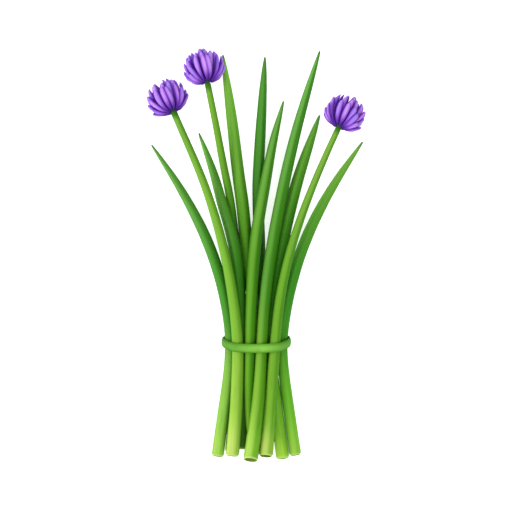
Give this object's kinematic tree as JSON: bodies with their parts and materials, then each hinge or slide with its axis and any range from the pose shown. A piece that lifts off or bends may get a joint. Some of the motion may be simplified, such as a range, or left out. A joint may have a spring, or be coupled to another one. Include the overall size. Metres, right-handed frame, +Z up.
{
  "type": "bunch of flowering chives",
  "caption": "Bunch of hollow pointed chive leaves and flowering stalks with round violet heads, held by a leaf wrapped round it, lying flat as cut for the kitchen.",
  "frame": {"origin": "middle of the bunch's bounding box in X and Y, at the surface that it lies on", "axes": "+Y along the bunch from the cut ends to the tips, +Z up from the surface, +X to the right seen from above with the tips away"},
  "size_m": [0.1078, 0.2096, 0.02],
  "materials": {
    "leaf_dark": "satin",
    "leaf_light": "satin",
    "stalk_green": "satin",
    "tie_green": "satin",
    "petal_violet": "matte",
    "receptacle_green": "matte"
  },
  "bodies": {
    "root": {"leaf_far_left": "leaf_dark", "leaf_mid_left": "leaf_dark", "leaf_tall_left": "leaf_light", "leaf_middle_back": "leaf_dark", "leaf_middle_front": "leaf_light", "leaf_tallest": "leaf_light", "leaf_mid_right": "leaf_dark", "leaf_far_right": "leaf_dark", "stalk_left_low": "stalk_green", "stalk_left_high": "stalk_green", "stalk_right": "stalk_green", "tie_leaf": "tie_green", "flower_left_low_receptacle": "receptacle_green", "flower_left_low_petals_1": "petal_violet", "flower_left_low_petals_2": "petal_violet", "flower_left_low_petals_3": "petal_violet", "flower_left_low_petals_4": "petal_violet", "flower_left_low_petals_5": "petal_violet", "flower_left_high_receptacle": "receptacle_green", "flower_left_high_petals_1": "petal_violet", "flower_left_high_petals_2": "petal_violet", "flower_left_high_petals_3": "petal_violet", "flower_left_high_petals_4": "petal_violet", "flower_left_high_petals_5": "petal_violet", "flower_right_receptacle": "receptacle_green", "flower_right_petals_1": "petal_violet", "flower_right_petals_2": "petal_violet", "flower_right_petals_3": "petal_violet", "flower_right_petals_4": "petal_violet", "flower_right_petals_5": "petal_violet"}
  },
  "joints": []
}
